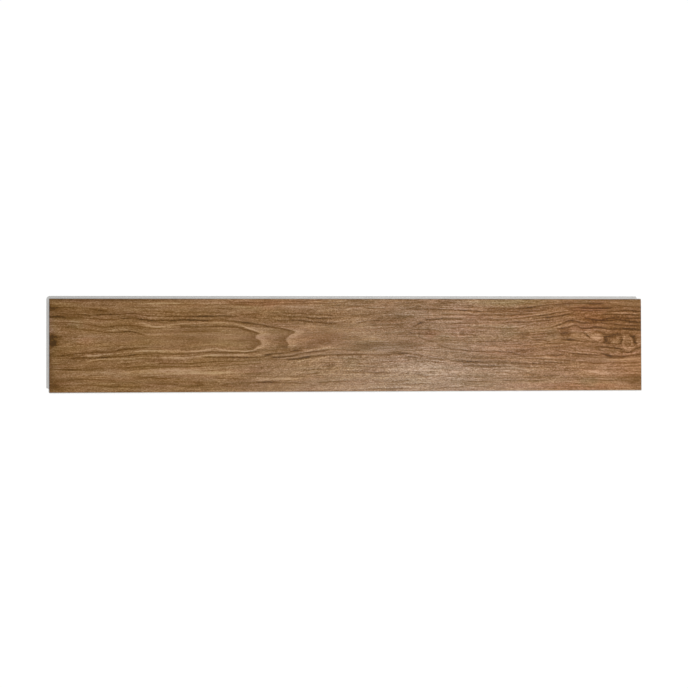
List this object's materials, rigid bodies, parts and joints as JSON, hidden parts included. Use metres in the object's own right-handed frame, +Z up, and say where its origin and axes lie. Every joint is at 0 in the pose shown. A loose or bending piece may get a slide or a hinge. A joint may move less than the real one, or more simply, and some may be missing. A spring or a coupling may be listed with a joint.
{
  "type": "stone plastic composite click plank",
  "caption": "Rigid stone plastic composite floor plank with a wood-look face over a grey core, and click-lock lips, tongue and hooks milled along its edges.",
  "frame": {"origin": "on the plank's back, under the middle of the wood-look face", "axes": "+X along the grain to the end that drops over the next plank, +Y to the long edge with the groove and lower lip, +Z up out of the wood-look face"},
  "size_m": [1.2264, 0.1971, 0.005],
  "materials": {
    "grey_core": "milled stone-filled PVC, pale grey and matt",
    "wood_print": "satin clear wear layer over a brown oak-look print, lightly embossed along the grain"
  },
  "bodies": {
    "root": {"stone_plastic_core": "grey_core", "printed_wear_layer": "wood_print"}
  },
  "joints": []
}
